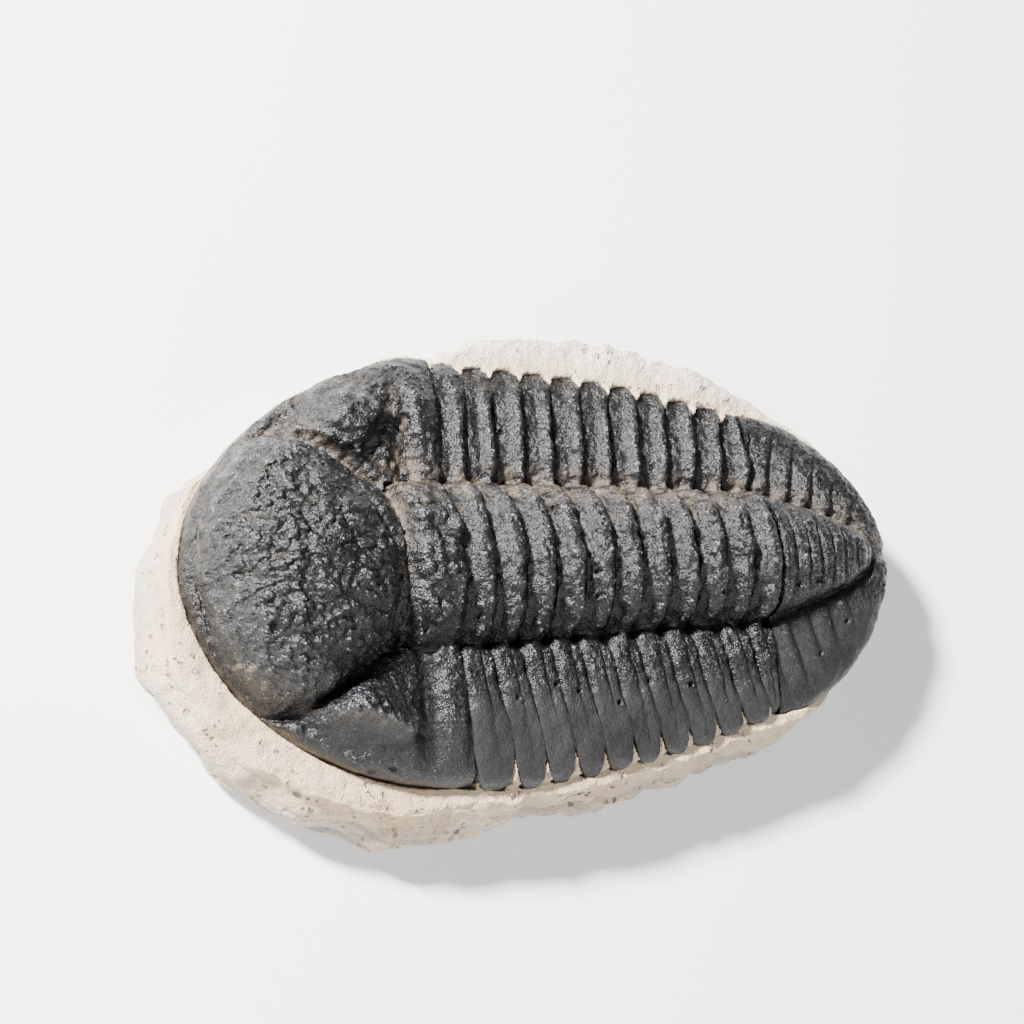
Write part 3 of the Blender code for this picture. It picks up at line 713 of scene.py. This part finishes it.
def fossil_black(name, dark, pale, dust_colour):
    """Black shell mineral: sandy grain, grey worn crests, painted glints on them, pale rock dust
    in the hollows.
    """
    mat, tree, shader, texture = new_material(name, 0.32)
    texture.inputs["Pore Size"].default_value = 0.24
    even = value_of(tree, "evenness")
    uneven = spread(tree, even, 0.0, 1.0, 1.0, 0.5)
    speck = product(tree, spread(tree, texture.outputs["Fine"], 0.40, 0.68), uneven)
    colour = mixed(tree, speck, dark, pale)
    colour = mixed(tree, product(tree, even, 0.55), colour, (0.031, 0.029, 0.027, 1))
    colour = mixed(tree, spread(tree, texture.outputs["Patch"], 0.42, 0.64, 0.0, 0.5), colour,
                   dark)
    crest = product(tree, value_of(tree, "crest"),
                    spread(tree, texture.outputs["Fine"], 0.42, 0.60))
    colour = mixed(tree, product(tree, crest, 0.6), colour, (0.022, 0.024, 0.028, 1))
    film = spread(tree, texture.outputs["Mottle"], 0.40, 0.64)
    dust = product(tree, value_of(tree, "dust"), film)
    dust = product(tree, dust, spread(tree, texture.outputs["Fine"], 0.36, 0.60, 0.25, 1.0), True)
    colour = mixed(tree, dust, colour, dust_colour)
    # Painted glints: pale grey specks, mostly on the crests, stand in for the lamp sparkling on
    # the grains
    glint = product(tree, texture.outputs["Sparkle"],
                    spread(tree, value_of(tree, "crest"), 0.15, 0.7, 0.04, 0.9), True)
    glint = product(tree, glint, uneven)
    colour = mixed(tree, glint, colour, (0.30, 0.31, 0.33, 1))
    colour = mixed(tree, product(tree, texture.outputs["Pores"], 0.85), colour,
                   (0.002, 0.002, 0.002, 1))
    tree.links.new(colour, shader.inputs["Base Color"])
    rough = spread(tree, texture.outputs["Fine"], 0.35, 0.65, 0.19, 0.36)
    rough = sum_of(tree, rough, product(tree, dust, 0.4), "ADD", True)
    rough = sum_of(tree, rough, product(tree, even, 0.25), "ADD", True)
    tree.links.new(rough, shader.inputs["Roughness"])
    relief = sum_of(tree, texture.outputs["Fine"], product(tree, texture.outputs["Mottle"], 0.9))
    relief = sum_of(tree, relief, product(tree, texture.outputs["Grit"], 0.35))
    relief = sum_of(tree, relief, texture.outputs["Pores"], "SUBTRACT")
    relief = product(tree, relief, uneven)
    bump = add_node(tree, "ShaderNodeBump", {"Height": relief, "Strength": 1.0,
                                             "Distance": 0.0002})
    tree.links.new(bump.outputs[0], shader.inputs["Normal"])
    return mat


def sheet_rows(s, v, top):
    """The top sheet's points row by row, and how many rows and columns they make."""
    sheet = np.flatnonzero(top)
    order = sheet[np.lexsort((v[sheet], s[sheet]))]
    return order, tuple(len(np.unique(np.round(at[sheet], 5))) for at in (s, v))


def finish_plate(piece, material, hollow, dusty, evenness):
    """Marks for the material, smooth shading and the piece's own material."""
    set_points(piece, get_points(piece))
    mark(piece, "crest", np.clip(-hollow / 0.5, 0, 1))
    mark(piece, "dust", dusty)
    mark(piece, "evenness", evenness)
    piece.data.materials.append(material)
    clear_selection()
    piece.select_set(True)
    bpy.context.view_layer.objects.active = piece
    bpy.ops.object.shade_smooth_by_angle(angle=radians(70))


head, s, v, top = plate("head_shield_shell", 215, 330)
order, sizes = sheet_rows(s, v, top)
a = s * pi / 2 * CLOSE_TO_TIP
x = HEAD_REAR - HEAD_LENGTH * np.sin(a) ** (2 / HEAD_ROUNDNESS)
off = v * HEAD_HALF_WIDTH * np.cos(a) ** (2 / HEAD_ROUNDNESS)
off *= 1 - 0.03 * (off > 0) * smooth(-x, 33, 42)
x = x + (joint_x(0, off) - HEAD_REAR - 0.03) * (1 - s) ** 3
z = head_height(x, off)
lobe = smooth(1.5 - (abs(off) - eased(x, LOBE_WIDTH, 1.0)), 0, 3) * (x < NECK_START)
uneven = 0.6 + 0.4 * smooth(np.sin(0.55 * x + 2) * np.cos(0.42 * off + 0.6), -0.5, 0.6)
z += lobe * uneven * warts(x, off, 1300, (-68, -40, -20, 22), 0.62, 0.42, 3)
z += lobe * warts(x, off, 130, (-67, -41, -18, 20), 2.2, 0.65, 4)
z += lobe * warts(x, off, 240, (-68, -56, -16, 16), 1.15, 0.75, 14)
z += warts(x, off, 120, (-52, -36, -26, -16), 0.6, 0.22, 5) * smooth(z, 7, 9)
z += warts(x, off, 60, (-51, -36, 16, 29), 1.1, 0.6, 6)
z += warts(x, off, 300, (-46, -29, -16, 20), 0.8, 0.3, 8)
z += warts(x, off, 46, (-38, -29.5, -11, 11), 1.9, 0.9, 9)
z += 0.5 * warts(x, off, 70, (-53, -36, -28, -20), 1.3, 0.5, 15)
z += warts(x, off, 90, (-68.5, -60, -19, 9), 1.3, 0.4, 16)
for gx, gy in EYE_GRANULES:
    z += 0.75 * lump(x, off, gx, gy, 0.85, 0.75)
for line, width, depth in GROOVES:
    z -= groove(x, off, line, width, depth)
z = np.where(top, np.maximum(z, 1.0), 0.0)
set_points(head, np.column_stack([x, off + midline(x), z]))

# Worn and grainy all over, but the lower near cheek is calmer; dust lies in the hollows
calm = 0.25 + 0.75 * np.maximum(smooth(off, -25.5, -22), smooth(x, -50, -60))
off_the_rim = smooth(1 - s, 0.0, 0.03)
zone = np.where(top, calm, 0.0) * off_the_rim
roughen(head, 6.0, 0.8, np.where(top, 1.0, 0.0) * off_the_rim)
roughen(head, 2.6, 0.6, zone)
roughen(head, 1.2, 0.42, zone)
roughen(head, 1.0, 0.5, zone * lobe * smooth(-x, 52, 60))
roughen(head, 0.7, 0.34, zone)
# Its rows run forwards, against the sheet's own, so its faces pointed inwards up to here
head.data.flip_normals()
hollow = surface_hollow(head, sizes, order, 3)
wide_hollow = surface_hollow(head, sizes, order, 9)
dusty = np.clip(hollow / 0.5, 0, 1) * 0.25 + np.clip(wide_hollow / 1.6, 0, 1) * 0.5
dusty *= 0.35 + 0.65 * smooth(off, -4, 8)
dusty += 0.9 * smooth(x, -42, -36) * lump(x, off, -36, 13, 8, 7)
dusty = np.where(top, dusty, 0)
head_black = fossil_black("head_black", DEEP_BLACK, GRAIN_BLACK, HEAD_DUST_AND_GLINT)
# Pale spots in the dust colour: chips in the black, and painted glints on the near eye's granules
chip_and_glint_spots = np.zeros(len(x))
for cx, cy in CHIP_AND_GLINT_SPOTS:
    chip_and_glint_spots = np.maximum(chip_and_glint_spots, lump(x, off, cx, cy, 0.55, 0.45))
finish_plate(head, head_black, hollow, np.maximum(dusty, 3 * chip_and_glint_spots), 0.35 * (1 - calm))
belongs(head, "head_shield")


# Thorax segments
# Eleven hoops of the same black shell, one behind the other. Each is an arched middle ring
# with a flat rib on either side that bends down to a rounded tip; the rear edge of each hoop
# drops sharply to the next, and rock dust has stayed in the furrows between.

# How deep the surface lies below the crest line, from the front to the rear of a hoop
RING_RELIEF = ((0.0, 1.9), (0.08, 1.75), (0.24, 1.35), (0.40, 0.45), (0.52, 0.08), (0.68, 0.0),
               (0.79, 0.35), (0.89, 1.3), (0.96, 2.0), (1.0, 2.2))
FAR_RIB_RELIEF = ((0.0, 1.7), (0.06, 1.5), (0.2, 1.35), (0.42, 1.15), (0.58, 0.35), (0.68, 0.0),
                  (0.78, 0.15), (0.88, 0.9), (1.0, 1.8))
NEAR_RIB_RELIEF = ((0.0, 0.9), (0.07, 0.4), (0.2, 0.08), (0.42, 0.0), (0.55, 0.1), (0.62, 0.62),
                   (0.70, 0.5), (0.86, 0.45), (0.95, 0.7), (1.0, 1.0))
# Small round pits in rings and ribs: place along and across
PITS = ((-16.6, 21.0), (-17.0, 13.0), (-11.7, 7.6), (-7.3, 0.0), (-6.2, -2.7), (-6.1, -6.4),
        (-14.6, -11.0), (-9.5, -11.1), (-26.7, -8.4), (-9.2, -20.2), (17.0, -6.7),
        (-20.1, -20.6), (-13.0, -19.0), (4.0, -19.5), (11.5, -20.5), (-2.0, -22.5))
# Room left between two hoops, on either side of the joint
JOINT_GAP = 0.02
THORAX_DUST = (0.14, 0.108, 0.078, 1)

hoop, hoop_u, hoop_v, hoop_top = plate("thorax_hoop", 26, 330)
hoop_order, hoop_sizes = sheet_rows(hoop_u, hoop_v, hoop_top)
thorax_black = fossil_black("thorax_black", DEEP_BLACK, GRAIN_BLACK, THORAX_DUST)
for index in range(SEGMENTS):
    name = f"thorax_segment_{index + 1:02d}"
    piece = hoop.copy()
    piece.data = hoop.data.copy()
    piece.name = f"{name}_shell"
    bpy.context.collection.objects.link(piece)
    middle = index + 0.5
    outer = np.where(hoop_v > 0, tip_edge(middle, 1), tip_edge(middle, -1))
    off = hoop_v * outer
    front = joint_x(index, off) + JOINT_GAP
    rear = joint_x(index + 1, off) - JOINT_GAP
    share = tip_share(off, middle)
    x = (front + rear) / 2 + (hoop_u - 0.5) * (rear - front) * share
    # Ring in the middle and a rib on either side, which fades toward its tip
    on_ring = 1 - smooth(abs(off), axis_half(middle) - 1.5, axis_half(middle) + 0.8)
    crest_high = body_arch(middle, off)
    far = off > 0
    fade = np.where(far, 1 - 0.5 * smooth(off, 22, 29), 1 - 0.85 * smooth(-off, 19.5, 25))
    relief = eased(hoop_u, RING_RELIEF, 0.05) * on_ring
    ribs = np.where(far, eased(hoop_u, FAR_RIB_RELIEF, 0.04),
                    eased(hoop_u, NEAR_RIB_RELIEF, 0.03))
    relief += ribs * (1 - on_ring) * fade
    # Furrow between ring and rib, deeper at the joints on the near side
    beside = abs(off) - axis_half(middle)
    pocket = smooth(abs(hoop_u - 0.40), 0.22, 0.5)
    furrow = np.where(far, 0.5 * np.exp(-((beside - 0.4) / 1.5) ** 2),
                      (0.2 + 1.6 * pocket) * np.exp(-((beside - 0.1) / 1.2) ** 2))
    z = crest_high - relief - furrow
    z += warts(x, off, 60, (x.min(), x.max(), -14, 14), 0.7, 0.26, 40 + index)
    z += warts(x, off, 8, (x.min(), x.max(), -12, 12), 1.8, 0.5, 60 + index)
    for px, py in PITS:
        z -= 1.3 * lump(x, off, px, py - midline(px), 0.55, 0.55)
    z = np.where(hoop_top, np.maximum(z, 0.9), 0.0)
    set_points(piece, np.column_stack([x, off + midline(x), z]))
    # Worn and grainy, calmer low on the near flank; dust in the joints and the far furrow
    zone = np.where(hoop_top, 1.0, 0.0)
    calm = zone * np.where(far, 1.0, 1 - 0.75 * smooth(-off, 17, 23))
    clear_selection()
    roughen(piece, 5.0, 0.8, zone)
    roughen(piece, 2.4, 0.7, calm)
    roughen(piece, 0.8, 0.34, calm)
    hollow = surface_hollow(piece, hoop_sizes, hoop_order, 3)
    low_part = smooth(relief, 1.45, 2.1) * 0.7
    far_furrow = np.exp(-((off - axis_half(middle) + 0.6) / 2.6) ** 2)
    dusty = 0.8 * far_furrow + low_part * (0.2 + 0.5 * smooth(off, -6, 8)) * fade
    dusty += 0.18 * np.clip(hollow / 0.4, 0, 1)
    finish_plate(piece, thorax_black, hollow, np.where(hoop_top, dusty, 0), (1 - calm) * hoop_top)
    belongs(piece, name)
bpy.data.objects.remove(hoop)


# Tail shield
# The hind plate, its segments grown together. The ringed axis runs out just short of the
# rounded end, the flank on one side keeps its ribs and the other is worn smooth.

# Half width and height of the ringed axis on its way to the tip
TAIL_AXIS_WIDTH = ((28.0, 10.6), (38.0, 7.9), (46.0, 5.2), (50.0, 3.2), (51.5, 1.2), (52.4, 0.05))
TAIL_AXIS_TOP = ((28.0, 12.8), (34.0, 11.6), (42.0, 9.4), (48.0, 7.2), (50.5, 5.2), (51.5, 3.8))
AXIS_END, RIB_PITCH, RING_PITCH = 52.0, 4.4, 22.0 / 7.5
TAIL_PITS = ((32.4, -6.1), (36.4, -5.5), (44.0, -12.0), (38.0, -17.0))
TAIL_GRAIN, TAIL_DUST = (0.017, 0.017, 0.018, 1), (0.12, 0.10, 0.078, 1)


def tail_height(x, off):
    """Height of the tail's surface above the bed."""
    u = np.clip((x - TAIL_START) / TAIL_LENGTH, 0, 1)
    wide = TAIL_HALF_WIDTH * np.where(off > 0, FAR_BURIAL, 1.0)
    rho = np.clip((u ** TAIL_ROUNDNESS + (abs(off) / wide) ** TAIL_ROUNDNESS)
                  ** (1 / TAIL_ROUNDNESS), 0, 1)
    field = RIM_HEIGHT + 4.3 * np.sqrt(1 - rho ** 2.6)
    # Slanted ribs, clear on the far side and nearly worn away on the near one
    phase = (x - 0.30 * abs(off) - TAIL_START) / RIB_PITCH
    saw = eased(phase % 1.0, ((0, 1.0), (0.2, 0.7), (0.55, 0.1), (0.7, 0.0), (0.85, 0.3),
                              (1, 1.0)), 0.08)
    ribs = np.where(off > 0, 1.35, 0.6)
    field -= ribs * saw * (1 - smooth(rho, 0.62, 0.97))
    # Ringed axis with a furrow beside it
    inner = eased(x, TAIL_AXIS_WIDTH, 0.8)
    beside = abs(off) - inner
    field -= 1.0 * (1 - smooth(abs(beside), 0, 2.0))
    ring_phase = ((x - TAIL_START + 0.05 * off * off / 6) / RING_PITCH) % 1.0
    ringed = eased(ring_phase, ((0, 0.9), (0.25, 0.3), (0.6, 0), (0.85, 0.35), (1, 0.9)), 0.07)
    height = eased(x, TAIL_AXIS_TOP, 0.8) - ringed * (1 - 0.5 * smooth(x, 40, 50))
    swell = np.clip(1 - (abs(off) / np.maximum(inner, 0.1)) ** 2.3, 0, 1) ** 0.6
    axis = field + (height - field) * swell
    return np.where((beside < 0) & (x < AXIS_END), axis, field)


tail, s, v, top = plate("tail_shield_shell", 150, 270)
order, sizes = sheet_rows(s, v, top)
a = s * pi / 2 * CLOSE_TO_TIP
x = TAIL_START + TAIL_LENGTH * np.sin(a) ** (2 / TAIL_ROUNDNESS)
off = v * TAIL_HALF_WIDTH * np.cos(a) ** (2 / TAIL_ROUNDNESS)
off = off * np.where(off > 0, FAR_BURIAL, 1.0)
x = x + (joint_x(SEGMENTS, off) - TAIL_START + JOINT_GAP) * (1 - s) ** 3
z = tail_height(x, off)
z += warts(x, off, 160, (29, 55, -12, 20), 0.7, 0.22, 77)
for px, py in TAIL_PITS:
    z -= 1.2 * lump(x, off, px, py - midline(px), 0.6, 0.6)
z = np.where(top, np.maximum(z, 1.0), 0.0)
set_points(tail, np.column_stack([x, off + midline(x), z]))
zone = np.where(top, 1.0, 0.0) * smooth(1 - s, 0.01, 0.05)
calm = zone * (0.35 + 0.65 * smooth(off, -11, -6))
roughen(tail, 5.0, 0.7, zone)
roughen(tail, 1.5, 0.35, calm)
roughen(tail, 0.65, 0.22, calm)
hollow = surface_hollow(tail, sizes, order, 3)
wide_hollow = surface_hollow(tail, sizes, order, 8)
dusty = np.clip(hollow / 0.4, 0, 1) * 0.2 + np.clip(wide_hollow / 1.2, 0, 1) * 0.4
dusty *= 0.3 + 0.7 * smooth(off, -3, 5)
dusty += 0.8 * np.exp(-((off - eased(x, TAIL_AXIS_WIDTH, 0.8) - 0.5) / 2.0) ** 2)
tail_black = fossil_black("tail_black", DEEP_BLACK, TAIL_GRAIN, TAIL_DUST)
finish_plate(tail, tail_black, hollow, np.where(top, dusty, 0), (1 - calm) * top)
belongs(tail, "tail_shield")


# Table, studio light and camera
# A plain pale tabletop, a small lamp beyond the head on the far side, a large weak one on the
# near side, a soft room all round, and the camera looking down past the head end.

clear_selection()
bpy.ops.mesh.primitive_plane_add(size=6, location=(0, 0, 0))
table = bpy.context.object
table.name = "tabletop"
paint = bpy.data.materials.new("matt_white_table")
paint.use_nodes = True
tree = paint.node_tree
shader = tree.nodes["Principled BSDF"]
spot = add_node(tree, "ShaderNodeTexCoord").outputs["Object"]
shade = add_node(tree, "ShaderNodeTexNoise", {"Vector": spot, "Scale": 14.0, "Detail": 3.0})
tree.links.new(mixed(tree, shade.outputs["Fac"], (0.86, 0.86, 0.855, 1), (0.90, 0.90, 0.90, 1)),
               shader.inputs["Base Color"])
shader.inputs["Roughness"].default_value = 0.75
table.data.materials.append(paint)

# What the lamps point at, and the camera's place and its three axes
aim = place + Vector((-5, 0, 6)) * MM
CAMERA_PLACE = Vector((-184.21, -52.76, 336.52))
RIGHT, UP, BACK = (0.8933, -0.1216, 0.4326), (0.0364, 0.9791, 0.2000), (-0.4479, -0.1629, 0.8791)


def lamp(name, direction, distance, size, power, colour):
    """A round lamp standing off in this direction, in metres and watts."""
    light = bpy.data.lights.new(name, "AREA")
    light.shape, light.size, light.energy, light.color = "DISK", size, power, colour
    holder = bpy.data.objects.new(name, light)
    bpy.context.collection.objects.link(holder)
    toward = Vector(direction).normalized()
    holder.location = aim + toward * distance
    holder.rotation_euler = toward.to_track_quat("Z", "Y").to_euler()


lamp("key_lamp", (-0.66, 0.45, 0.56), 0.9, 0.12, 70.0, (1.0, 0.985, 0.96))
lamp("fill_lamp", (0.1, -0.8, 0.9), 1.2, 1.0, 16.0, (0.95, 0.97, 1.0))
world = bpy.data.worlds.new("soft_room")
world.use_nodes = True
world.node_tree.nodes["Background"].inputs["Color"].default_value = (0.82, 0.86, 0.92, 1)
world.node_tree.nodes["Background"].inputs["Strength"].default_value = 0.35
bpy.context.scene.world = world

lens = bpy.data.cameras.new("camera")
lens.lens, lens.sensor_width, lens.clip_start, lens.clip_end = 85.0, 36.0, 0.01, 20.0
camera = bpy.data.objects.new("camera", lens)
bpy.context.collection.objects.link(camera)
turned = Matrix((RIGHT, UP, BACK)).transposed()
camera.matrix_world = Matrix.Translation(place + CAMERA_PLACE * MM) @ turned.to_4x4()
bpy.context.scene.camera = camera
